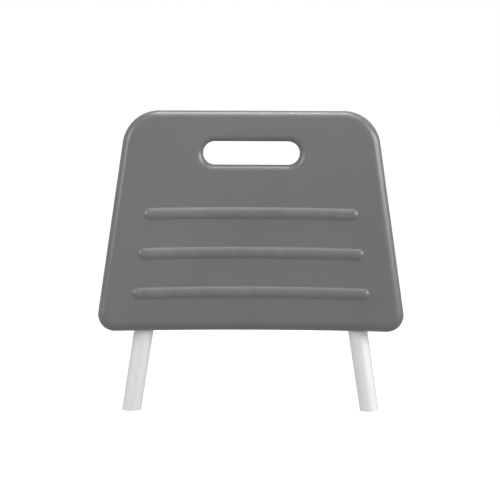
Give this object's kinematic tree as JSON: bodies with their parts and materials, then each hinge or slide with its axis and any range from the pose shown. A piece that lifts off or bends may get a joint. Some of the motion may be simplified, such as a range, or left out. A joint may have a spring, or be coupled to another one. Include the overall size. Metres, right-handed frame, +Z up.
{
  "type": "bath transfer bench backrest",
  "caption": "Clip-on backrest for a bath transfer bench: hollow curved panel with hand slot and raised ribs on two splayed tube posts with spring lock buttons.",
  "frame": {"origin": "midway between the lower ends of the two posts, on the plane of their axes", "axes": "+X across the panel (left is -X), +Y to the rear, +Z up"},
  "size_m": [0.3922, 0.0583, 0.389],
  "materials": {
    "panel_plastic": "satin grey polyethylene with a fine moulded texture",
    "post_aluminium": "satin anodised, faint lengthwise drawing lines",
    "cap_plastic": "black polyethylene",
    "saddle_plastic": "dark grey nylon",
    "bolt_steel": "stainless, lightly turned",
    "insert_brass": "machined",
    "button_steel": "polished stainless",
    "spring_steel": "rolled strip"
  },
  "bodies": {
    "backrest": {"back_panel": "panel_plastic", "left_post": "post_aluminium", "right_post": "post_aluminium", "left_post_cap": "cap_plastic", "right_post_cap": "cap_plastic", "left_lower_insert": "insert_brass", "left_lower_saddle": "saddle_plastic", "left_lower_bolt": "bolt_steel", "left_upper_insert": "insert_brass", "left_upper_saddle": "saddle_plastic", "left_upper_bolt": "bolt_steel", "left_button_spring": "spring_steel", "right_lower_insert": "insert_brass", "right_lower_saddle": "saddle_plastic", "right_lower_bolt": "bolt_steel", "right_upper_insert": "insert_brass", "right_upper_saddle": "saddle_plastic", "right_upper_bolt": "bolt_steel", "right_button_spring": "spring_steel"},
    "left_button": {"left_lock_button": "button_steel"},
    "right_button": {"right_lock_button": "button_steel"}
  },
  "joints": [
    {"name": "left_button_press", "type": "slide", "parent": "backrest", "child": "left_button", "axis": [0, -1, 0], "range_m": [0, 0.006], "stiffness_N_per_m": 900, "springref_m": -0.002, "deforming": ["left_button_spring"]},
    {"name": "right_button_press", "type": "slide", "parent": "backrest", "child": "right_button", "axis": [0, -1, 0], "range_m": [0, 0.006], "stiffness_N_per_m": 900, "springref_m": -0.002, "deforming": ["right_button_spring"]}
  ]
}
